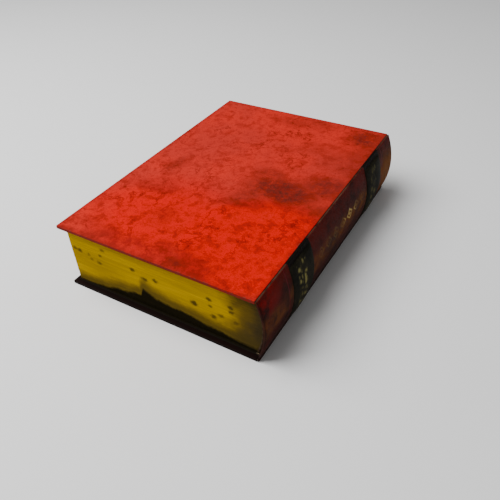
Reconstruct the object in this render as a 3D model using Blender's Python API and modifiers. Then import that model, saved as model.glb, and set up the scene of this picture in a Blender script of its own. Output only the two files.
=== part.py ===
"""A thick quarter-leather book: red paper boards, a round leather spine with two raised labels, sewn leaves.

Metres, +Z up. The book lies on its back board: X runs from the fore-edge to the spine, Y from the tail to the
head, and the origin is the middle of the box that the closed book fills, at its base.
"""

import math

import bmesh
import bpy
from mathutils import Vector

# Driving dimensions
BOARD_HEIGHT = 0.230
BOARD_WIDTH = 0.159
BOOK_THICKNESS = 0.054
COVER_THICKNESS = 0.003
SQUARE = 0.0041  # how far the boards stand proud of the leaves
SPINE_RISE = 0.0056  # how far the spine's round stands out between the joints
LABEL_RISE = 0.0014
JOINT_GAP = 0.0015  # from a board's spine edge to the outer face of the leather beside it
HINGE_OUTSET = 0.0005  # from that outer face to the hinge line
SECTION_COUNT = 16
LOOSE_LEAF_COUNT = 4
TAPE_PLACES = (-0.070, 0.0, 0.070)

# Layers of a cover, as depths from its outer face
PAPER_SKIN = 0.0003
LAYER_GAP = 0.0003
FLANGE_DEPTHS = (0.0006, 0.0009)
BOARD_DEPTHS = (0.0006, 0.0020)
POCKET_DEPTH = 0.0014
SLIP_DEPTHS = (0.0017, 0.0020)
MULL_DEPTHS = (0.0023, 0.0025)
PASTEDOWN_DEPTHS = (0.0028, 0.0030)
TURN_IN = 0.015
FLANGE_WIDTH = 0.014
MULL_WIDTH = 0.025
SLIP_LENGTH = 0.022
PASTEDOWN_INSET = 0.003

# Layers of the spine, as depths from the leather's outer face
LEATHER_DEPTHS = (0.0, 0.0009)
CAP_DEPTHS = (0.0005, 0.0018)
LINING_DEPTHS = (0.0012, 0.0015)
SPINE_MULL_DEPTHS = (0.0018, 0.0020)
TAPE_DEPTHS = (0.0023, 0.0026)
STITCH_DEPTH = 0.00245
FOLD_DEPTH = 0.0029
ENDBAND_DEPTH = 0.0031

LEATHER_END_GAP = 0.0004  # the leather stops this far inside the boards' outer faces
CAP_LENGTH = 0.012
LINING_HALF = 0.101
MULL_HALF = 0.097
TAPE_WIDTH = 0.014
STITCH_PLACE = 0.092
STITCH_RADIUS = 0.00015
ENDBAND_RADIUS = 0.0010
LABEL_GAP = 0.0003
LABEL_LOW, LABEL_HIGH = 0.0050, 0.0504  # the heights between which a label wraps the spine
TAIL_LABEL_SPAN = (-0.0770, -0.0465)
HEAD_LABEL_SPAN = (0.0535, 0.0850)

# The leaves
LEAF = 0.0003
LEAF_PITCH = 0.0006
LEAF_BACK_GAP = 0.0016  # from the hinge side of a loose leaf to the leather's outer face
SECTION_GAP = 0.0003
FOLD_ROUND = 0.0008

# Derived places
HALF_HEIGHT = BOARD_HEIGHT / 2
X_FORE = -(BOARD_WIDTH + JOINT_GAP + SPINE_RISE + LABEL_RISE) / 2
X_EDGE = X_FORE + BOARD_WIDTH
X_JOINT = X_EDGE + JOINT_GAP
X_HINGE = X_JOINT + HINGE_OUTSET
X_LEAVES = X_FORE + SQUARE
Y_LEAVES = HALF_HEIGHT - SQUARE
Z_FRONT_HINGE = BOOK_THICKNESS - COVER_THICKNESS / 2
Z_BACK_HINGE = COVER_THICKNESS / 2

# The spine's round: an arc from the front board's outer face to the back board's inner face
ARC_LOW = COVER_THICKNESS
ARC_HIGH = BOOK_THICKNESS
ARC_HALF_CHORD = (ARC_HIGH - ARC_LOW) / 2
ARC_RADIUS = (ARC_HALF_CHORD**2 + SPINE_RISE**2) / (2 * SPINE_RISE)
ARC_X = X_JOINT + SPINE_RISE - ARC_RADIUS
ARC_Z = (ARC_HIGH + ARC_LOW) / 2

COLOURS = {  # name: (colour, roughness, metallic)
    "red_paper": ((0.62, 0.035, 0.012), 0.55, 0.0),
    "board": ((0.30, 0.22, 0.14), 0.9, 0.0),
    "endpaper": ((0.62, 0.52, 0.34), 0.85, 0.0),
    "page_edge": ((0.50, 0.38, 0.02), 0.8, 0.0),
    "leather": ((0.08, 0.012, 0.009), 0.5, 0.0),
    "label_leather": ((0.008, 0.007, 0.006), 0.4, 0.0),
    "linen": ((0.60, 0.53, 0.40), 0.9, 0.0),
    "kraft": ((0.38, 0.24, 0.12), 0.9, 0.0),
    "endband": ((0.20, 0.11, 0.06), 0.85, 0.0),
}


def clear_scene():
    for obj in list(bpy.data.objects):
        bpy.data.objects.remove(obj)


def collection(name, parent=None):
    made = bpy.data.collections.new(name)
    (parent or bpy.context.scene.collection).children.link(made)
    return made


def material(name):
    found = bpy.data.materials.get(name)
    if found:
        return found
    colour, roughness, metallic = COLOURS[name]
    made = bpy.data.materials.new(name)
    made.use_nodes = True
    shader = made.node_tree.nodes["Principled BSDF"]
    shader.inputs["Base Color"].default_value = (*colour, 1.0)
    shader.inputs["Roughness"].default_value = roughness
    shader.inputs["Metallic"].default_value = metallic
    made.diffuse_color = (*colour, 1.0)
    return made


def put_in(target, obj):
    for old in list(obj.users_collection):
        old.objects.unlink(obj)
    target.objects.link(obj)


def hang_on(obj, axis):
    """Parents obj to the empty on its hinge line, and keeps it where it is."""
    if axis:
        obj.parent = axis
        obj.location = obj.location - axis.location


def finish(obj, book, slot, axis=None):
    put_in(book, obj)
    obj.data.materials.clear()
    obj.data.materials.append(material(slot))
    hang_on(obj, axis)
    return obj


def axis_empty(name, book, z):
    made = bpy.data.objects.new(name, None)
    made.location = (X_HINGE, 0.0, z)
    book.objects.link(made)
    return made


def box(name, xs, ys, zs, round_edges=0.0):
    """A block between two places on each axis."""
    low = Vector((min(xs), min(ys), min(zs)))
    high = Vector((max(xs), max(ys), max(zs)))
    bpy.ops.mesh.primitive_cube_add(size=1.0, location=(low + high) / 2)
    made = bpy.context.object
    made.name = name
    made.scale = high - low
    bpy.ops.object.transform_apply(location=False, rotation=False, scale=True)
    if round_edges:
        bevel = made.modifiers.new("round_edges", "BEVEL")
        bevel.width = round_edges
        bevel.segments = 2
        bevel.limit_method = "ANGLE"
    return made


def extruded(name, outline, ys):
    """A flat outline of (x, z) points, drawn out along Y between two places."""
    curve = bpy.data.curves.new(name, "CURVE")
    curve.dimensions = "2D"
    curve.fill_mode = "BOTH"
    curve.extrude = (max(ys) - min(ys)) / 2
    spline = curve.splines.new("POLY")
    spline.points.add(len(outline) - 1)
    for point, (x, z) in zip(spline.points, outline):
        point.co = (x, z, 0.0, 1.0)
    spline.use_cyclic_u = True
    made = bpy.data.objects.new(name, curve)
    made.rotation_euler = (math.pi / 2, 0.0, 0.0)
    made.location = (0.0, (max(ys) + min(ys)) / 2, 0.0)
    bpy.context.scene.collection.objects.link(made)
    return made


def tube(name, path, radius):
    """A round cord along (x, y, z) points, with closed ends."""
    curve = bpy.data.curves.new(name, "CURVE")
    curve.dimensions = "3D"
    curve.bevel_depth = radius
    curve.bevel_resolution = 2
    curve.use_fill_caps = True
    spline = curve.splines.new("POLY")
    spline.points.add(len(path) - 1)
    for point, place in zip(spline.points, path):
        point.co = (*place, 1.0)
    made = bpy.data.objects.new(name, curve)
    bpy.context.scene.collection.objects.link(made)
    return made


def as_mesh(obj):
    """The curve as a mesh object in the same place, its caps welded on, so that it can be cut or joined."""
    bpy.context.view_layer.update()
    graph = bpy.context.evaluated_depsgraph_get()
    mesh = bpy.data.meshes.new_from_object(obj.evaluated_get(graph))
    name = obj.name
    place = obj.matrix_world.copy()
    bpy.data.objects.remove(obj)
    shape = bmesh.new()
    shape.from_mesh(mesh)
    bmesh.ops.remove_doubles(shape, verts=shape.verts, dist=1e-6)
    bmesh.ops.recalc_face_normals(shape, faces=shape.faces)
    shape.to_mesh(mesh)
    shape.free()
    made = bpy.data.objects.new(name, mesh)
    made.matrix_world = place
    bpy.context.scene.collection.objects.link(made)
    return made


def combine(obj, tool, operation, tools):
    """Adds a Boolean modifier that cuts obj with tool, or joins tool to it."""
    put_in(tools, tool)
    tool.hide_render = True
    tool.display_type = "WIRE"
    boolean = obj.modifiers.new(operation.lower(), "BOOLEAN")
    boolean.operation = operation
    boolean.object = tool
    return obj


def spine_point(depth, z):
    """Where the spine's arc, at this depth under the leather's face, stands at height z."""
    radius = ARC_RADIUS - depth
    return ARC_X + math.sqrt(radius**2 - (z - ARC_Z) ** 2)


def arc_points(depth, z_low, z_high, count):
    """(x, z) points up the spine's arc at this depth, between the radii to two heights on the leather's face."""
    radius = ARC_RADIUS - depth
    low = math.asin((z_low - ARC_Z) / ARC_RADIUS)
    high = math.asin((z_high - ARC_Z) / ARC_RADIUS)
    angles = [low + (high - low) * i / (count - 1) for i in range(count)]
    return [(ARC_X + radius * math.cos(a), ARC_Z + radius * math.sin(a)) for a in angles]


def arc_strip(name, depths, z_low, z_high, ys, count=17):
    """A curved strip on the spine between two depths, two heights and two places along Y."""
    outer = arc_points(depths[0], z_low, z_high, count)
    inner = arc_points(depths[1], z_low, z_high, count)
    return extruded(name, outer + inner[::-1], ys)


def leather_outline(depths, count=25):
    """The leather's section: the spine's arc, then a short upright run beside the back board."""
    outer = arc_points(depths[0], ARC_LOW, ARC_HIGH - LEATHER_END_GAP, count)
    inner = arc_points(depths[1], ARC_LOW, ARC_HIGH - LEATHER_END_GAP, count)
    foot = [(X_JOINT - depths[1], LEATHER_END_GAP), (X_JOINT - depths[0], LEATHER_END_GAP)]
    return outer + inner[::-1] + foot


def section_outline(z_low, z_high, count=7):
    """A folded section: straight at the fore-edge and rounded over at its back fold."""
    middle = (z_low + z_high) / 2
    half = (z_high - z_low) / 2
    slope = math.asin((middle - ARC_Z) / (ARC_RADIUS - FOLD_DEPTH))
    reach = math.hypot(FOLD_ROUND * math.cos(slope), half * math.sin(slope))
    fold = spine_point(FOLD_DEPTH, middle) - reach / math.cos(slope)
    angles = [-math.pi / 2 + math.pi * i / (count - 1) for i in range(count)]
    back = [(fold + FOLD_ROUND * math.cos(a), middle + half * math.sin(a)) for a in angles]
    return [(X_LEAVES, z_low)] + back + [(X_LEAVES, z_high)]


def cover(side, book, tools, axis=None):
    """One cover: the board in its paper, the leather and mull glued to it, the tapes' ends, the pastedown."""
    at_front = side == "front"

    def heights(depths):
        return [BOOK_THICKNESS - d if at_front else d for d in depths]

    past_edge = X_EDGE + 0.005
    inside = PAPER_SKIN + LAYER_GAP
    pieces = []

    paper = box(
        side + "_cover_paper",
        (X_FORE, X_EDGE),
        (-HALF_HEIGHT, HALF_HEIGHT),
        heights((0.0, MULL_DEPTHS[1])),
        round_edges=0.0004,
    )
    hollow = box(
        side + "_paper_hollow",
        (X_FORE + PAPER_SKIN, past_edge),
        (PAPER_SKIN - HALF_HEIGHT, HALF_HEIGHT - PAPER_SKIN),
        heights((PAPER_SKIN, MULL_DEPTHS[0])),
    )
    window = box(
        side + "_paper_window",
        (X_FORE + TURN_IN, past_edge),
        (TURN_IN - HALF_HEIGHT, HALF_HEIGHT - TURN_IN),
        heights((BOARD_DEPTHS[1], COVER_THICKNESS)),
    )
    combine(paper, hollow, "DIFFERENCE", tools)
    combine(paper, window, "DIFFERENCE", tools)
    pieces.append((paper, "red_paper"))

    board = box(
        side + "_board",
        (X_FORE + inside, X_EDGE),
        (inside - HALF_HEIGHT, HALF_HEIGHT - inside),
        heights(BOARD_DEPTHS),
    )
    step = box(
        side + "_board_step",
        (X_EDGE - FLANGE_WIDTH - LAYER_GAP, past_edge),
        (-HALF_HEIGHT, HALF_HEIGHT),
        heights((0.0, FLANGE_DEPTHS[1] + LAYER_GAP)),
    )
    combine(board, step, "DIFFERENCE", tools)
    pieces.append((board, "board"))

    flange = box(
        side + "_joint_leather",
        (X_EDGE - FLANGE_WIDTH, X_EDGE),
        (inside - HALF_HEIGHT, HALF_HEIGHT - inside),
        heights(FLANGE_DEPTHS),
    )
    pieces.append((flange, "leather"))

    for number, place in enumerate(TAPE_PLACES, 1):
        pocket = box(
            f"{side}_pocket_{number}",
            (X_EDGE - SLIP_LENGTH - LAYER_GAP, past_edge),
            (place - TAPE_WIDTH / 2 - LAYER_GAP, place + TAPE_WIDTH / 2 + LAYER_GAP),
            heights((POCKET_DEPTH, COVER_THICKNESS)),
        )
        combine(board, pocket, "DIFFERENCE", tools)
        slip = box(
            f"{side}_tape_end_{number}",
            (X_EDGE - SLIP_LENGTH, X_EDGE),
            (place - TAPE_WIDTH / 2, place + TAPE_WIDTH / 2),
            heights(SLIP_DEPTHS),
        )
        pieces.append((slip, "linen"))

    mull = box(
        side + "_mull_flange",
        (X_EDGE - MULL_WIDTH, X_EDGE),
        (-MULL_HALF, MULL_HALF),
        heights(MULL_DEPTHS),
    )
    pieces.append((mull, "linen"))

    pastedown = box(
        side + "_pastedown",
        (X_FORE + PASTEDOWN_INSET, X_EDGE),
        (PASTEDOWN_INSET - HALF_HEIGHT, HALF_HEIGHT - PASTEDOWN_INSET),
        heights(PASTEDOWN_DEPTHS),
    )
    pieces.append((pastedown, "endpaper"))

    for piece, slot in pieces:
        finish(piece, book, slot, axis)


def leaf(name, z_top, hinge_z, slot, book):
    """A loose leaf under z_top, on its own hinge line."""
    made = box(name, (X_LEAVES, X_JOINT - LEAF_BACK_GAP), (-Y_LEAVES, Y_LEAVES), (z_top - LEAF, z_top))
    finish(made, book, slot, axis_empty(name + "_axis", book, hinge_z))


def leaves(book):
    """The flyleaves and the first loose leaves. Returns the heights that are left for the sewn sections."""
    top = BOOK_THICKNESS - COVER_THICKNESS - LEAF
    leaf("front_flyleaf", top, Z_FRONT_HINGE, "endpaper", book)
    for number in range(1, LOOSE_LEAF_COUNT + 1):
        leaf(f"leaf_{number}", top - number * LEAF_PITCH, Z_FRONT_HINGE, "page_edge", book)
    leaf("back_flyleaf", COVER_THICKNESS + 2 * LEAF, Z_BACK_HINGE, "endpaper", book)
    return COVER_THICKNESS + 3 * LEAF, top - (LOOSE_LEAF_COUNT + 1) * LEAF_PITCH


def sections(book, z_low, z_high, axis):
    """The sewn sections, numbered from the front of the book."""
    pitch = (z_high - z_low) / SECTION_COUNT
    for number in range(1, SECTION_COUNT + 1):
        high = z_high - (number - 1) * pitch
        outline = section_outline(high - pitch + SECTION_GAP, high)
        made = extruded(f"section_{number:02d}", outline, (-Y_LEAVES, Y_LEAVES))
        finish(made, book, "page_edge", axis)


def sewing(book, z_low, z_high, axis):
    """The linen tapes across the folds, and the kettle stitches that link the sections near head and tail."""
    for number, place in enumerate(TAPE_PLACES, 1):
        ys = (place - TAPE_WIDTH / 2, place + TAPE_WIDTH / 2)
        tape = arc_strip(f"sewing_tape_{number}", TAPE_DEPTHS, z_low, z_high, ys)
        finish(tape, book, "linen", axis)
    for side, place in (("tail", -STITCH_PLACE), ("head", STITCH_PLACE)):
        path = [(x, place, z) for x, z in arc_points(STITCH_DEPTH, z_low, z_high, 17)]
        finish(tube(f"{side}_kettle_stitch", path, STITCH_RADIUS), book, "linen", axis)


def endbands(book, axis):
    """A cord endband at each end of the folds, under the leather's cap."""
    end = HALF_HEIGHT - SQUARE + ENDBAND_RADIUS + LEAF
    for side, place in (("tail", -end), ("head", end)):
        path = [(x, place, z) for x, z in arc_points(ENDBAND_DEPTH, 0.0065, 0.0500, 17)]
        finish(tube(f"{side}_endband", path, ENDBAND_RADIUS), book, "endband", axis)


def spine_linings(book, z_low, z_high, axis):
    mull = arc_strip("spine_mull", SPINE_MULL_DEPTHS, z_low, z_high, (-MULL_HALF, MULL_HALF), 25)
    finish(mull, book, "linen", axis)
    lining = arc_strip("spine_lining", LINING_DEPTHS, z_low, z_high, (-LINING_HALF, LINING_HALF), 25)
    finish(lining, book, "kraft", axis)


def spine_leather(book, tools, axis):
    """The leather over the back, turned in and so doubled at head and tail."""
    made = as_mesh(extruded("spine_leather", leather_outline(LEATHER_DEPTHS), (-HALF_HEIGHT, HALF_HEIGHT)))
    for side, sign in (("tail", -1), ("head", 1)):
        ys = (sign * (HALF_HEIGHT - CAP_LENGTH), sign * HALF_HEIGHT)
        cap = as_mesh(arc_strip(side + "_cap", CAP_DEPTHS, 0.0055, 0.0515, ys, 25))
        combine(made, cap, "UNION", tools)
    finish(made, book, "leather", axis)


def labels(book, axis):
    """The raised leather labels, rounded over at their edges."""
    for side, span in (("tail", TAIL_LABEL_SPAN), ("head", HEAD_LABEL_SPAN)):
        strip = arc_strip(side + "_label", (-LABEL_RISE, -LABEL_GAP), LABEL_LOW, LABEL_HIGH, span, 21)
        made = as_mesh(strip)
        bevel = made.modifiers.new("round_edges", "BEVEL")
        bevel.width = 0.0009
        bevel.segments = 3
        bevel.limit_method = "ANGLE"
        bevel.angle_limit = math.radians(50)
        finish(made, book, "label_leather", axis)


def main():
    clear_scene()
    book = collection("quarter_leather_book")
    tools = collection("cutters", book)
    cover("back", book, tools)
    cover("front", book, tools, axis_empty("front_cover_axis", book, Z_FRONT_HINGE))
    z_low, z_high = leaves(book)
    block_axis = axis_empty("text_block_axis", book, Z_BACK_HINGE)
    sections(book, z_low, z_high, block_axis)
    sewing(book, z_low, z_high, block_axis)
    endbands(book, block_axis)
    spine_linings(book, z_low, z_high, block_axis)
    spine_leather(book, tools, block_axis)
    labels(book, block_axis)


main()
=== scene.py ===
"""Looks of a thick quarter-leather book: crackled red paper boards, a worn spine, stained page edges."""

import math
import random

import bpy
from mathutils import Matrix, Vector, noise


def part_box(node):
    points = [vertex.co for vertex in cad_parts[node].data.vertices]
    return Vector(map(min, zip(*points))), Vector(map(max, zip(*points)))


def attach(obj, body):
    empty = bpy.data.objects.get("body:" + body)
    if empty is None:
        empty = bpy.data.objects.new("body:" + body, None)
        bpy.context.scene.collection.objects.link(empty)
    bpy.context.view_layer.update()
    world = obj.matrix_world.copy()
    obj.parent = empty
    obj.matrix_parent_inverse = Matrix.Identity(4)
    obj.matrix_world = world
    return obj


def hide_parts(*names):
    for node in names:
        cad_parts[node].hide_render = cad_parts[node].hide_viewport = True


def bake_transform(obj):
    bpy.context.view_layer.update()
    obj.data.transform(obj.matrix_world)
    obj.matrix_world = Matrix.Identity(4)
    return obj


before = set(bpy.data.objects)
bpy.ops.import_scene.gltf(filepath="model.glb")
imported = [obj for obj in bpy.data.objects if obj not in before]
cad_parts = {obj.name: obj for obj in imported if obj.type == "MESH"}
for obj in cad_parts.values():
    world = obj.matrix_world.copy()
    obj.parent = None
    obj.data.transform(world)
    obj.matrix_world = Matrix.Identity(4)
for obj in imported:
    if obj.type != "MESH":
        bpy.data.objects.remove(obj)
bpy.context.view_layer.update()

random.seed(11)

# ---------------------------------------------------------------- places, in metres, from the CAD's own nodes
MM = 0.001
PAPER_LOW, PAPER_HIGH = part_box("front_cover_paper")
_, LEATHER_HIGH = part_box("spine_leather")
FIRST_LOW, FIRST_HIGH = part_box("section_01")
LAST_LOW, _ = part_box("section_16")
X_FORE = PAPER_LOW[0]
X_EDGE = PAPER_HIGH[0]
TOP = PAPER_HIGH[2]
LABEL_SPANS = [(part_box(side + "_label")[0][1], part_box(side + "_label")[1][1]) for side in ("tail", "head")]
HALF_HEIGHT = PAPER_HIGH[1]
X_LEAVES = FIRST_LOW[0]
Y_LEAVES = FIRST_HIGH[1]
COVER_THICKNESS = 3.0 * MM
X_JOINT = X_EDGE + 1.5 * MM
SPINE_RISE = LEATHER_HIGH[0] - X_JOINT
X_HINGE = X_JOINT + 0.5 * MM
Z_FRONT_HINGE = TOP - COVER_THICKNESS / 2
Z_BACK_HINGE = COVER_THICKNESS / 2

# The spine's round
ARC_LOW = COVER_THICKNESS
ARC_HIGH = TOP
ARC_HALF_CHORD = (ARC_HIGH - ARC_LOW) / 2
ARC_RADIUS = (ARC_HALF_CHORD**2 + SPINE_RISE**2) / (2 * SPINE_RISE)
ARC_X = X_JOINT + SPINE_RISE - ARC_RADIUS
ARC_Z = (ARC_HIGH + ARC_LOW) / 2

# Thicknesses in the visual model
SPINE_SKIN = 0.9 * MM
SPINE_SKIN_TURNED_IN = 1.75 * MM
JOINT_SKIN = 0.3 * MM
GUTTER_PAPER = 0.12 * MM
SECTIONS = 16
STRATA = 105

# ---------------------------------------------------------------- colours, scene-linear
# The dull and warm reds are paled pink by a painted sheen; the vivid red is the paper's own colour
DULL_RED_WITH_SHEEN = (0.46, 0.0270, 0.0190)
WARM_RED_WITH_SHEEN = (0.56, 0.0230, 0.0140)
VIVID_RED = (0.62, 0.0, 0.0)
SMOKE_BROWN = (0.080, 0.0145, 0.0105)
PATCH_RED = (0.17, 0.0085, 0.0050)
FLECK_RED = (0.17, 0.0050, 0.0030)
VEIN_BROWN = (0.080, 0.0075, 0.0045)
SPECK_BROWN = (0.045, 0.0060, 0.0040)
GRIT_DARK = (0.14, 0.0050, 0.0030)
GRIT_LIGHT = (0.80, 0.024, 0.010)
TAIL_CRIMSON = (0.15, 0.0110, 0.0090)
MARGIN_RED = (0.20, 0.012, 0.009)
BOARD_EDGE_RED = (0.13, 0.014, 0.010)
RUBBED_RED = (0.13, 0.040, 0.028)
RUBBED_SOOTY_SHADED = (0.020, 0.014, 0.011)
COVER_SOOT_AND_SHADE = (0.0060, 0.0050, 0.0045)

YELLOW_LOW = (0.33, 0.195, 0.0002)
YELLOW_HIGH = (0.46, 0.285, 0.0002)
YELLOW_DULL = (0.25, 0.150, 0.0005)
SPOT_BROWN = (0.040, 0.027, 0.006)
EDGE_BROWN = (0.085, 0.053, 0.010)
BY_SPINE_BROWN = (0.036, 0.026, 0.012)
DUSK_BROWN = (0.062, 0.042, 0.010)
PAGE_FOOT_DARK = (0.0050, 0.0045, 0.0025)

PAPER_AGED = (0.46, 0.33, 0.17)
FOXING = (0.26, 0.13, 0.05)
MARGIN_BROWN = (0.36, 0.22, 0.05)
RIM_YELLOW = (0.42, 0.30, 0.02)
ENDPAPER_BROWN = (0.30, 0.18, 0.08)
ENDPAPER_SOOT_AND_SHADE = (0.0060, 0.0050, 0.0040)

MAROON_LOW = (0.024, 0.0050, 0.0032)
MAROON_HIGH = (0.062, 0.0100, 0.0060)
MAROON_KEPT = (0.22, 0.0020, 0.0020)
WORN_TAN_AND_SHEEN = (0.20, 0.072, 0.018)
BLIND_LINE = (0.16, 0.010, 0.022)
SPINE_GILT = (0.44, 0.30, 0.10)
TURNED_DARK = (0.016, 0.0065, 0.0045)
SPINE_FOOT_SHADE = (0.012, 0.008, 0.007)
BLACK_LEATHER = (0.0055, 0.0050, 0.0040)
LABEL_LOW = (0.0085, 0.0085, 0.0062)
LABEL_HIGH = (0.0210, 0.0180, 0.0110)
LABEL_GILT = (0.23, 0.20, 0.065)
LABEL_RUBBED = (0.040, 0.026, 0.015)

# ---------------------------------------------------------------- where the marks are
# Smoke on the covers: centre x and y, half-width and half-length in metres, strength
SMOKE_PATCHES = (
    (0.034, -0.004, 0.043, 0.029, 1.0),
    (0.062, 0.014, 0.030, 0.022, 0.85),
    (0.016, 0.012, 0.022, 0.016, 0.65),
    (0.018, -0.026, 0.024, 0.020, 0.75),
    (0.066, -0.018, 0.020, 0.015, 0.70),
    (0.062, 0.098, 0.026, 0.026, 0.85),
    (0.070, 0.062, 0.034, 0.050, 0.50),
    (0.030, 0.066, 0.020, 0.014, 0.40),
    (0.014, -0.103, 0.036, 0.012, 0.60),
    (-0.024, -0.072, 0.014, 0.024, 0.30),
    (-0.052, -0.040, 0.026, 0.012, 0.40),
    (-0.056, -0.008, 0.010, 0.026, 0.50),
    (-0.056, -0.104, 0.040, 0.012, 0.30),
    (0.000, 0.102, 0.044, 0.014, 0.45),
)
# Spots on the tail edge: x, z and radius in millimetres, strength
TAIL_SPOTS = (
    (-75.5, 34, 3.4, 0.8), (-71.5, 33.5, 3.2, 0.9), (-63, 33, 2.6, 0.6), (-61, 29.5, 2.2, 0.5),
    (-54, 28.5, 3.0, 0.8), (-52, 36, 2.4, 0.8), (-48.5, 42, 2.8, 0.7), (-23, 34.5, 3.6, 0.9),
    (-13.5, 30, 3.8, 0.9), (-4, 32.5, 3.4, 0.9), (26.5, 26.5, 4.4, 1.0), (39, 35.5, 3.2, 0.9),
    (39.5, 30, 2.8, 0.8), (41.5, 21, 3.6, 0.9), (47.5, 24.5, 3.6, 0.7), (55.5, 35.5, 3.2, 1.0),
    (55.5, 31.5, 3.0, 0.9), (58.5, 23, 3.0, 0.7),
)
# The upper edge of the dark foot on the leaves, as the tail shows it: x and height in metres. The two ends
# come first
FOOT_DARK_LINE = (
    (-0.084, 0.0010), (0.084, 0.0058), (-0.0715, 0.0022), (-0.0465, 0.0068), (-0.0278, 0.0105),
    (-0.0200, 0.0125), (-0.0165, 0.0184), (-0.0120, 0.0174), (-0.0050, 0.0144), (0.0060, 0.0126),
    (0.0222, 0.0114), (0.0410, 0.0088), (0.0598, 0.0068),
)
FOOT_DARK_REACH = 0.084
FOOT_DARK_SCALE = 0.05
BLIND_LINES = (-0.0825, 0.0905)

# ---------------------------------------------------------------- camera, light and floor
CAMERA_PLACE = (0.19008, -0.30314, 0.27277)
CAMERA_TURN = (0.88471, 0.03511, 0.52461)
CAMERA_LENS = 38.73
SENSOR_WIDTH = 36.0
KEY_PLACE = (-0.55, -0.34, 1.00)
KEY_SIZE = 0.9
KEY_POWER = 24.5
WORLD_STRENGTH = 0.25
FLOOR_REACH = 6.0
FLOOR_TONE = (0.86, 0.86, 0.86)


def spine_x(depth, z):
    """Where the spine's arc, at this depth under the leather's face, stands at height z."""
    return ARC_X + math.sqrt((ARC_RADIUS - depth) ** 2 - (z - ARC_Z) ** 2)


def arc_point(depth, z_face):
    """The point at this depth on the radius that meets the leather's face at height z_face."""
    angle = math.asin((z_face - ARC_Z) / ARC_RADIUS)
    radius = ARC_RADIUS - depth
    return ARC_X + radius * math.cos(angle), ARC_Z + radius * math.sin(angle)


# ---------------------------------------------------------------- mesh helpers
def mesh_object(name, verts, faces):
    """A smooth-shaded mesh with sharp edges kept."""
    mesh = bpy.data.meshes.new(name)
    mesh.from_pydata([tuple(v) for v in verts], [], faces)
    mesh.validate()
    mesh.update()
    obj = bpy.data.objects.new(name, mesh)
    bpy.context.scene.collection.objects.link(obj)
    mesh.shade_smooth()
    mesh.set_sharp_from_angle(angle=math.radians(40))
    return obj


def tube_grid(name, rings):
    """A closed skin through rings that all have the same number of points."""
    count = len(rings[0])
    verts = [p for ring in rings for p in ring]
    faces = []
    for i in range(len(rings) - 1):
        for j in range(count):
            k = (j + 1) % count
            faces.append((i * count + j, i * count + k, (i + 1) * count + k, (i + 1) * count + j))
    faces.append(tuple(range(count - 1, -1, -1)))
    faces.append(tuple((len(rings) - 1) * count + j for j in range(count)))
    return mesh_object(name, verts, faces)


def remember_rest(obj):
    """Keep each vertex's place with the book shut, so that stains stay on a leaf that turns."""
    mesh = obj.data
    rest = mesh.attributes.new("rest_place", "FLOAT_VECTOR", "POINT")
    for vertex, place in zip(mesh.vertices, rest.data):
        place.vector = vertex.co


def finish_piece(obj, materials):
    """Paint a piece. A second material goes on the faces that lie flat when the book is shut."""
    obj.data.materials.clear()
    for material in materials:
        obj.data.materials.append(material)
    if len(materials) > 1:
        for polygon in obj.data.polygons:
            polygon.material_index = 1 if abs(polygon.normal.z) > 0.97 else 0
    remember_rest(obj)
    return obj


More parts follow.
